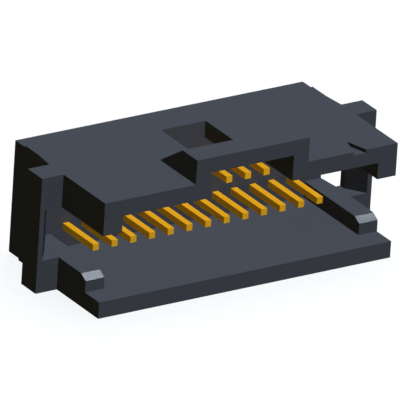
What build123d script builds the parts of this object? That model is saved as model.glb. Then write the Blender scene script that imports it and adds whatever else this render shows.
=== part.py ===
from build123d import *
import os

# Shrouded two-row board header with straight tails, in millimetres.
# X runs along the rows and the mating side looks towards -Y. Z = 0 is the flat underside that
# the housing lies on. The origin is the middle of that underside.

# Contacts
pitch = 1.27
row_spacing = 2.54
contacts_per_row = 13
contact_size = 0.40
contact_reach = 3.21
tail_length = 2.70
tail_point_length = 0.30
tail_point_depth = 0.10
contact_clearance = 0.03
swell_setback = 0.30

# Housing walls
floor_wall = 1.03
roof_wall = 1.02
side_wall = 1.27
back_wall = 1.46
row_margin = 1.31
end_margin = 1.04
shroud_depth = 7.37
body_inset = 0.14

# Guide rails on the floor and skirts under the roof, which leave the ends open between them
rail_height = 1.00
rail_setback = 1.51
rail_nose_depth = 0.51
rail_nose_height = 0.29
skirt_drop = 1.02

# Latch ears at the ends
ear_setback = 4.45
ear_depth = 1.54
ear_reach = 1.44
ear_strap = 1.16
ear_land = 0.44
ear_lip = 0.31

# Raised key pad in the middle of the roof, and the latch window behind it
key_width = 5.60
pad_rise = 1.52
pad_flat = 1.58
pad_ramp = 2.24
pad_wall = 0.95
window_width = 3.06

# Pin 1 triangle, sunk in the roof's front edge
mark_inset = 0.26
mark_width = 0.84
mark_length = 1.41
mark_depth = 0.22

# Tail plate behind the housing
plate_thickness = 1.05
plate_drop = 0.10
plate_lift = 0.13

# Levels that follow from those sizes
floor_z = floor_wall
lower_row_z = floor_z + row_margin
upper_row_z = lower_row_z + row_spacing
ceiling_z = upper_row_z + row_margin
roof_z = ceiling_z + roof_wall
rail_z = floor_z + rail_height
skirt_z = ceiling_z - skirt_drop

# Half widths
row_half = pitch * (contacts_per_row - 1) / 2
cavity_half = row_half + end_margin
shroud_half = cavity_half + side_wall
body_half = shroud_half - body_inset
ear_half = shroud_half + ear_reach
mark_x = row_half - mark_inset

# Places along the mating direction
housing_depth = shroud_depth + back_wall
front_y = -housing_depth / 2
back_wall_y = front_y + shroud_depth
housing_rear_y = front_y + housing_depth
plate_rear_y = housing_rear_y + plate_thickness
ear_front_y = front_y + ear_setback
ear_rear_y = ear_front_y + ear_depth
ramp_foot_y = front_y + pad_flat + pad_ramp
tip_y = back_wall_y - contact_reach
tail_end_y = plate_rear_y + tail_length

hole_size = contact_size + 2 * contact_clearance
middle_place = contacts_per_row // 2

# Every contact's name, with its place across the rows and its height. The middle of the upper row
# stays empty, as a key.
contacts = {
    f"contact_{row}_{place + 1:02d}": (pitch * place - row_half, row_z)
    for row, row_z in (("lower", lower_row_z), ("upper", upper_row_z))
    for place in range(contacts_per_row)
    if (row, place) != ("upper", middle_place)
}


def across(y, z=0.0):
    """Upright plane across the rows at this depth, whose extrusions run towards -Y."""
    return Plane(origin=(0, y, z), x_dir=(1, 0, 0), z_dir=(0, -1, 0))


def contact_holes(rear_y):
    """Sketch of the holes for all contacts, on the rear face of the wall that they pass."""
    with BuildSketch(across(rear_y)) as holes:
        with Locations(*contacts.values()):
            Rectangle(hole_size, hole_size)
    return holes.sketch


os.makedirs("parts", exist_ok=True)

with BuildPart() as housing:
    # Outline seen from above, with an ear at each end and the flare behind it
    with BuildSketch(Plane.XY):
        with BuildLine():
            Polyline(
                (0, front_y),
                (shroud_half, front_y),
                (shroud_half, ear_front_y),
                (ear_half, ear_front_y),
                (ear_half, ear_rear_y),
                (shroud_half, ear_rear_y),
                (body_half, back_wall_y),
                (body_half, housing_rear_y),
                (0, housing_rear_y),
                close=True,
            )
        make_face()
        mirror(about=Plane.YZ)
    extrude(amount=roof_z)

    # Cavity for the mating plug
    with BuildSketch(across(back_wall_y, (floor_z + ceiling_z) / 2)):
        Rectangle(2 * cavity_half, ceiling_z - floor_z)
    extrude(amount=shroud_depth, mode=Mode.SUBTRACT)

    # Open ends between rails and skirts, which leave a strap with a sloped lead-in on each ear
    with BuildSketch(Plane.XY.offset(rail_z)):
        with BuildLine():
            Polyline(
                (0, front_y),
                (ear_half, front_y),
                (ear_half, ear_front_y),
                (ear_half - ear_lip, ear_front_y),
                (ear_half - ear_strap, ear_rear_y - ear_land),
                (ear_half - ear_strap, ear_rear_y),
                (ear_half, ear_rear_y),
                (ear_half, back_wall_y),
                (0, back_wall_y),
                close=True,
            )
        make_face()
        mirror(about=Plane.YZ)
    extrude(amount=skirt_z - rail_z, mode=Mode.SUBTRACT)

    # Step in front of the rails, with their sloped noses
    with BuildSketch(Plane.YZ.offset(-shroud_half)):
        with BuildLine():
            Polyline(
                (front_y, floor_z),
                (front_y + rail_setback, floor_z),
                (front_y + rail_setback, rail_z - rail_nose_height),
                (front_y + rail_setback + rail_nose_depth, rail_z),
                (front_y, rail_z),
                close=True,
            )
        make_face()
    extrude(amount=2 * shroud_half, mode=Mode.SUBTRACT)

    # Key pad with its ramp
    pad_half = key_width / 2 + roof_wall
    with BuildSketch(Plane.YZ.offset(-pad_half)):
        with BuildLine():
            Polyline(
                (front_y, roof_z),
                (front_y, roof_z + pad_rise),
                (front_y + pad_flat, roof_z + pad_rise),
                (ramp_foot_y, roof_z),
                close=True,
            )
        make_face()
    extrude(amount=2 * pad_half)

    # Key slot below the pad, one wall thick under the flat and under the ramp
    ramp_slope = pad_rise / pad_ramp
    ramp_wall_z = pad_wall * (1 + ramp_slope**2) ** 0.5
    slot_top_z = roof_z + pad_rise - pad_wall
    slot_bend_y = front_y + pad_flat - (ramp_wall_z - pad_wall) / ramp_slope
    slot_foot_y = slot_bend_y + (slot_top_z - ceiling_z) / ramp_slope
    with BuildSketch(Plane.YZ.offset(-key_width / 2)):
        with BuildLine():
            Polyline(
                (front_y, ceiling_z),
                (front_y, slot_top_z),
                (slot_bend_y, slot_top_z),
                (slot_foot_y, ceiling_z),
                close=True,
            )
        make_face()
    extrude(amount=key_width, mode=Mode.SUBTRACT)

    # Latch window from the foot of the ramp to the back wall
    with BuildSketch(Plane.XY.offset(ceiling_z)):
        with Locations((0, (ramp_foot_y + back_wall_y) / 2)):
            Rectangle(window_width, back_wall_y - ramp_foot_y)
    extrude(amount=roof_wall, mode=Mode.SUBTRACT)

    # Pin 1 triangle
    with BuildSketch(Plane.XY.offset(roof_z - mark_depth)):
        with BuildLine():
            Polyline(
                (mark_x - mark_width / 2, front_y),
                (mark_x + mark_width / 2, front_y),
                (mark_x, front_y + mark_length),
                close=True,
            )
        make_face()
    extrude(amount=mark_depth, mode=Mode.SUBTRACT)

    # Holes that hold the contacts
    extrude(contact_holes(housing_rear_y), amount=back_wall, mode=Mode.SUBTRACT)

housing.part.label = "housing"
export_step(housing.part, "parts/housing.step")

with BuildPart() as tail_plate:
    plate_height = roof_z - plate_drop - plate_lift
    with BuildSketch(across(plate_rear_y, plate_lift + plate_height / 2)):
        Rectangle(2 * body_half, plate_height)
    extrude(amount=plate_thickness)
    extrude(contact_holes(plate_rear_y), amount=plate_thickness, mode=Mode.SUBTRACT)

tail_plate.part.label = "tail_plate"
export_step(tail_plate.part, "parts/tail_plate.step")

for name, middle in contacts.items():
    with BuildPart() as contact:
        with BuildSketch(across(tail_end_y)):
            with Locations(middle):
                Rectangle(contact_size, contact_size)
        extrude(amount=tail_end_y - tip_y)
        # Four slopes that point the tail
        tail_end = contact.faces().sort_by(Axis.Y)[-1]
        chamfer(tail_end.edges(), tail_point_depth, tail_point_length, reference=tail_end)
        # Swell that grips the sides of its hole in the back wall
        with BuildSketch(across(housing_rear_y - swell_setback)):
            with Locations(middle):
                Rectangle(hole_size, contact_size)
        extrude(amount=back_wall - 2 * swell_setback)
    contact.part.label = name
    export_step(contact.part, f"parts/{name}.step")
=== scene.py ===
import math

import bpy
from mathutils import Matrix, Vector

# A shrouded two-row board header on a pale floor. Everything is in metres, in the part's frame:
# X along the rows, -Y out of the mating side, +Z up. The part stands on the floor at Z = 0.

MM = 0.001
WHITE = (1.0, 1.0, 1.0)

# The photographer's place, as angles round the part, and what the picture takes in
VIEW_AZIMUTH = math.radians(-33.925)
VIEW_ELEVATION = math.radians(24.115)
VIEW_ROLL = math.radians(3.642)
VIEW_DISTANCE = 1.08
VIEW_CLIP = (0.1 * VIEW_DISTANCE, 10 * VIEW_DISTANCE)
PICTURE_WIDTH = 22.961 * MM
AIM_ACROSS = -0.198 * MM
AIM_UP = 3.390 * MM

# Lamps, each with the direction towards it, its level and the angle that it fills. A level is the
# share of its own colour that a surface facing the lamp shows.
KEY_TOWARDS = Vector((0.4917, 0.0340, 0.8700))
KEY_LEVEL = 0.325
KEY_SPREAD = math.radians(3.6)
KEY_COLOUR = (0.81, 0.92, 1.0)
FILL_TOWARDS = Vector((0.370, -0.568, 0.747))
FILL_LEVEL = 0.882
FILL_SPREAD = math.radians(36)
CONTACT_FILL_TOWARDS = Vector((-0.03, -0.511, 0.859))
CONTACT_FILL_LEVEL = 0.985
CONTACT_FILL_SPREAD = math.radians(36)
BACK_TOWARDS = Vector((0.10, 0.98, 0.15))
BACK_LEVEL = 0.40
BACK_SPREAD = math.radians(10)
RIM_TOWARDS = Vector((-0.90, 0.44, 0.0))
RIM_LEVEL = 0.072
RIM_SPREAD = math.radians(40)
RIM_COLOUR = (1.0, 0.80, 0.33)
SOFTBOX_TOWARDS = Vector((0.25, 0.12, 0.95))
SOFTBOX_LEVEL = 0.15
SOFTBOX_SPREAD = math.radians(45)

# Sky and floor. Surfaces gather light from other colours than the white that is seen.
SKY_LEVEL = 0.03
SKY_GATHERED = (1.0, 0.85, 0.6)
FLOOR_HALF_WIDTH = 0.4
FLOOR_DROP = 0.01 * MM
FLOOR_SHOWN = (0.80, 0.80, 0.80)
FLOOR_GATHERED = (0.06, 0.05, 0.03)
FLOOR_GLOW = 0.11

# Housing and tail plate
PLASTIC_COOL = (0.060, 0.0692, 0.089)
PLASTIC_WARM = (0.063, 0.0702, 0.086)
PLASTIC_ROUGHNESS = (0.80, 0.95)
PLASTIC_SPECULAR = 0.01
CLOUD_SIZE = 4.0 * MM
CLOUD_DETAIL = 2.0
GRAIN_SIZE = 0.10 * MM
GRAIN_DETAIL = 4.0
GRAIN_HARSHNESS = 0.6
GRAIN_HEIGHT = 0.004 * MM
EDGE_RADIUS = 0.03 * MM
EDGE_SAMPLES = 4
LEAD_IN_ROUGHNESS = 0.092
# Painted shade: the darker colour given to the left strap's slope for the shade it lies in
STRAP_SLOPE_PAINTED_SHADE = (0.014, 0.017, 0.022)

# How far a face's normal leans out of a plane before the face counts as a slope
FRONT_SLOPE = 0.2
TOP_SLOPE = 0.2
RIGHT_SLOPE = 0.5

# Contacts
GOLD_LIGHT = (0.94, 0.495, 0.018)
GOLD_DEEP = (0.91, 0.45, 0.013)
GOLD_METALLIC = 0.12
GOLD_SPECULAR = 0.03
GOLD_ROUGHNESS = (0.32, 0.48)
STREAK_WIDTH = 0.05 * MM
STREAK_DETAIL = 3.0
STREAK_STRETCH = 0.06
STREAK_HEIGHT = 0.002 * MM


class Shader:
    """The node tree of a material or world, with short ways to add and join nodes."""

    def __init__(self, owner):
        owner.use_nodes = True
        self.tree = owner.node_tree
        self.tree.nodes.clear()

    def feed(self, socket, value):
        """Sets an input to a constant, or joins it to another node's output."""
        if isinstance(value, bpy.types.NodeSocket):
            self.tree.links.new(value, socket)
        elif socket.type == "RGBA":
            socket.default_value = (*value, 1.0)
        else:
            socket.default_value = value

    def add(self, kind, settings=None, **inputs):
        """Adds a node. Its inputs are named as in Blender, with _ for a space."""
        node = self.tree.nodes.new(kind)
        for name, value in (settings or {}).items():
            setattr(node, name, value)
        for name, value in inputs.items():
            self.feed(node.inputs[name.replace("_", " ")], value)
        return node

    def calculate(self, operation, first, second):
        node = self.add("ShaderNodeMath", {"operation": operation})
        for socket, value in zip(node.inputs, (first, second)):
            self.feed(socket, value)
        return node.outputs["Value"]

    def blend(self, share, first, second):
        """Mixes two colours."""
        node = self.add("ShaderNodeMix", {"data_type": "RGBA"})
        share_socket, colour_sockets = node.inputs[0], node.inputs[6:8]
        self.feed(share_socket, share)
        for socket, value in zip(colour_sockets, (first, second)):
            self.feed(socket, value)
        return node.outputs[2]

    def spread(self, value, low, high):
        """Takes a value from 0 to 1 to the range from low to high."""
        node = self.add("ShaderNodeMapRange", Value=value, To_Min=low, To_Max=high)
        return node.outputs["Result"]

    def noise(self, place, size, detail, roughness=0.5):
        """Noise whose features are about this size."""
        node = self.add("ShaderNodeTexNoise", Vector=place, Scale=1 / size, Detail=detail,
                        Roughness=roughness)
        return node.outputs["Fac"]


def make_camera():
    """A long lens, so that the view is all but parallel, as in the photograph."""
    forward = Vector((
        -math.sin(VIEW_AZIMUTH) * math.cos(VIEW_ELEVATION),
        math.cos(VIEW_AZIMUTH) * math.cos(VIEW_ELEVATION),
        -math.sin(VIEW_ELEVATION),
    ))
    level_right = Vector((math.cos(VIEW_AZIMUTH), math.sin(VIEW_AZIMUTH), 0))
    level_up = level_right.cross(forward)
    right = level_right * math.cos(VIEW_ROLL) + level_up * math.sin(VIEW_ROLL)
    up = level_up * math.cos(VIEW_ROLL) - level_right * math.sin(VIEW_ROLL)
    place = right * AIM_ACROSS + up * AIM_UP - forward * VIEW_DISTANCE

    data = bpy.data.cameras.new("camera")
    data.lens = data.sensor_width * VIEW_DISTANCE / PICTURE_WIDTH
    data.clip_start, data.clip_end = VIEW_CLIP
    camera = bpy.data.objects.new("camera", data)
    turn = Matrix((right, up, -forward)).transposed().to_4x4()
    camera.matrix_world = Matrix.Translation(place) @ turn
    bpy.context.collection.objects.link(camera)
    bpy.context.scene.camera = camera


def seen_directly(shader):
    """1 for rays from the camera, in mirrors and through glass, and 0 for gathered light."""
    path = shader.add("ShaderNodeLightPath").outputs
    seen = shader.calculate("MAXIMUM", path["Is Camera Ray"], path["Is Glossy Ray"])
    return shader.calculate("MAXIMUM", seen, path["Is Transmission Ray"])


def make_world():
    """White wherever it is seen, and a weak even light on the part."""
    world = bpy.data.worlds.new("studio")
    shader = Shader(world)
    seen = seen_directly(shader)
    colour = shader.blend(seen, SKY_GATHERED, WHITE)
    strength = shader.spread(seen, SKY_LEVEL, 1.0)
    sky = shader.add("ShaderNodeBackground", Color=colour, Strength=strength)
    shader.add("ShaderNodeOutputWorld", Surface=sky.outputs[0])
    bpy.context.scene.world = world


def make_floor():
    """Paper that keeps the part's soft shadow, with a glow that takes it to white elsewhere."""
    mesh = bpy.data.meshes.new("floor")
    w, z = FLOOR_HALF_WIDTH, -FLOOR_DROP
    mesh.from_pydata([(-w, -w, z), (w, -w, z), (w, w, z), (-w, w, z)], [], [(0, 1, 2, 3)])
    floor = bpy.data.objects.new("floor", mesh)
    bpy.context.collection.objects.link(floor)

    material = bpy.data.materials.new("floor_paper")
    shader = Shader(material)
    seen = seen_directly(shader)
    colour = shader.blend(seen, FLOOR_GATHERED, FLOOR_SHOWN)
    paper = shader.add("ShaderNodeBsdfDiffuse", Color=colour)
    strength = shader.spread(seen, 0.0, FLOOR_GLOW)
    glow = shader.add("ShaderNodeEmission", Color=WHITE, Strength=strength)
    both = shader.add("ShaderNodeAddShader")
    for socket, layer in zip(both.inputs, (paper, glow)):
        shader.feed(socket, layer.outputs[0])
    shader.add("ShaderNodeOutputMaterial", Surface=both.outputs[0])
    mesh.materials.append(material)
    return floor


def moulded_plastic():
    """Dark slate plastic from a finely eroded mould.

    The lead-in slopes in front of the rails are polished, and the left strap's slope has painted
    shade, a darker colour in place of the shade it lies in, as both are in the photograph.
    """
    material = bpy.data.materials.new("moulded_plastic")
    shader = Shader(material)
    place = shader.add("ShaderNodeTexCoord").outputs["Object"]
    clouds = shader.noise(place, CLOUD_SIZE, CLOUD_DETAIL)
    grain = shader.noise(place, GRAIN_SIZE, GRAIN_DETAIL, GRAIN_HARSHNESS)

    normal = shader.add("ShaderNodeNewGeometry").outputs["True Normal"]
    facing = shader.add("ShaderNodeSeparateXYZ", Vector=normal).outputs
    faces_front = shader.calculate("LESS_THAN", facing["Y"], -FRONT_SLOPE)
    faces_up = shader.calculate("GREATER_THAN", facing["Z"], TOP_SLOPE)
    faces_right = shader.calculate("GREATER_THAN", facing["X"], RIGHT_SLOPE)
    lead_in = shader.calculate("MULTIPLY", faces_front, faces_up)
    # Mask for painted shade: faces that lean forward and to the right, which is the left strap's
    # slope
    painted_shade_on_strap = shader.calculate("MULTIPLY", faces_front, faces_right)

    colour = shader.blend(clouds, PLASTIC_COOL, PLASTIC_WARM)
    # Painted shade on the left strap's slope
    colour = shader.blend(painted_shade_on_strap, colour, STRAP_SLOPE_PAINTED_SHADE)
    matt = shader.spread(grain, *PLASTIC_ROUGHNESS)
    roughness = shader.spread(lead_in, matt, LEAD_IN_ROUGHNESS)
    edge = shader.add("ShaderNodeBevel", {"samples": EDGE_SAMPLES}, Radius=EDGE_RADIUS)
    unpolished = shader.spread(lead_in, 1.0, 0.0)
    bump = shader.add("ShaderNodeBump", Strength=unpolished, Distance=GRAIN_HEIGHT, Height=grain,
                      Normal=edge.outputs[0])
    surface = shader.add("ShaderNodeBsdfPrincipled", Base_Color=colour, Roughness=roughness,
                         Specular_IOR_Level=PLASTIC_SPECULAR, Normal=bump.outputs[0])
    shader.add("ShaderNodeOutputMaterial", Surface=surface.outputs[0])
    return material


def plated_gold():
    """Satin gold over drawn wire, with fine streaks along the contact."""
    material = bpy.data.materials.new("plated_gold")
    shader = Shader(material)
    place = shader.add("ShaderNodeTexCoord").outputs["Object"]
    along_wire = shader.add("ShaderNodeMapping", Vector=place, Scale=(1.0, STREAK_STRETCH, 1.0))
    streaks = shader.noise(along_wire.outputs[0], STREAK_WIDTH, STREAK_DETAIL)

    colour = shader.blend(streaks, GOLD_DEEP, GOLD_LIGHT)
    roughness = shader.spread(streaks, *GOLD_ROUGHNESS)
    bump = shader.add("ShaderNodeBump", Strength=1.0, Distance=STREAK_HEIGHT, Height=streaks)
    surface = shader.add("ShaderNodeBsdfPrincipled", Base_Color=colour, Metallic=GOLD_METALLIC,
                         Roughness=roughness, Specular_IOR_Level=GOLD_SPECULAR,
                         Normal=bump.outputs[0])
    shader.add("ShaderNodeOutputMaterial", Surface=surface.outputs[0])
    return material


def dress(nodes, material):
    for node in nodes:
        node.data.materials.clear()
        node.data.materials.append(material)


def make_lamp(name, towards, level, spread, colour=WHITE, lights=None, shadow=False):
    """A far lamp that lights everything, or the objects in lights alone."""
    data = bpy.data.lights.new(name, "SUN")
    data.energy = level * math.pi
    data.color = colour
    data.angle = spread
    data.use_shadow = shadow
    lamp = bpy.data.objects.new(name, data)
    lamp.rotation_euler = towards.to_track_quat("Z", "Y").to_euler()
    bpy.context.collection.objects.link(lamp)
    if lights is not None:
        lit = bpy.data.collections.new(name + "_lights")
        for item in lights:
            lit.objects.link(item)
        lamp.light_linking.receiver_collection = lit


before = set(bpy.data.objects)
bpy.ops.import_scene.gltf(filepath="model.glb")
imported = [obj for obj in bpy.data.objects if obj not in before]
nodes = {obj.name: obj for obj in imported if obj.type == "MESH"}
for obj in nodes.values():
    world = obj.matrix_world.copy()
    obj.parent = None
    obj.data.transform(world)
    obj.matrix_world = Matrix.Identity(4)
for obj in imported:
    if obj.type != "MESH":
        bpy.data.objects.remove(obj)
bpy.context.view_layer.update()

make_camera()
make_world()
floor = make_floor()

mouldings = [nodes["housing"], nodes["tail_plate"]]
contacts = [node for name, node in nodes.items() if name.startswith("contact_")]
dress(mouldings, moulded_plastic())
dress(contacts, plated_gold())

# The photograph has flat light without shadows. The contacts get a fill of their own, all but
# square to the rows, so that none of them shines on its neighbour's side. The softbox lights the
# floor alone and puts the part's shadow there.
make_lamp("key", KEY_TOWARDS, KEY_LEVEL, KEY_SPREAD, KEY_COLOUR, lights=[*mouldings, floor])
make_lamp("fill", FILL_TOWARDS, FILL_LEVEL, FILL_SPREAD, lights=[*mouldings, floor])
make_lamp("contact_fill", CONTACT_FILL_TOWARDS, CONTACT_FILL_LEVEL, CONTACT_FILL_SPREAD,
          lights=contacts)
make_lamp("back", BACK_TOWARDS, BACK_LEVEL, BACK_SPREAD)
make_lamp("rim", RIM_TOWARDS, RIM_LEVEL, RIM_SPREAD, RIM_COLOUR)
make_lamp("softbox", SOFTBOX_TOWARDS, SOFTBOX_LEVEL, SOFTBOX_SPREAD, lights=[floor], shadow=True)

bpy.context.scene.view_settings.view_transform = "Standard"
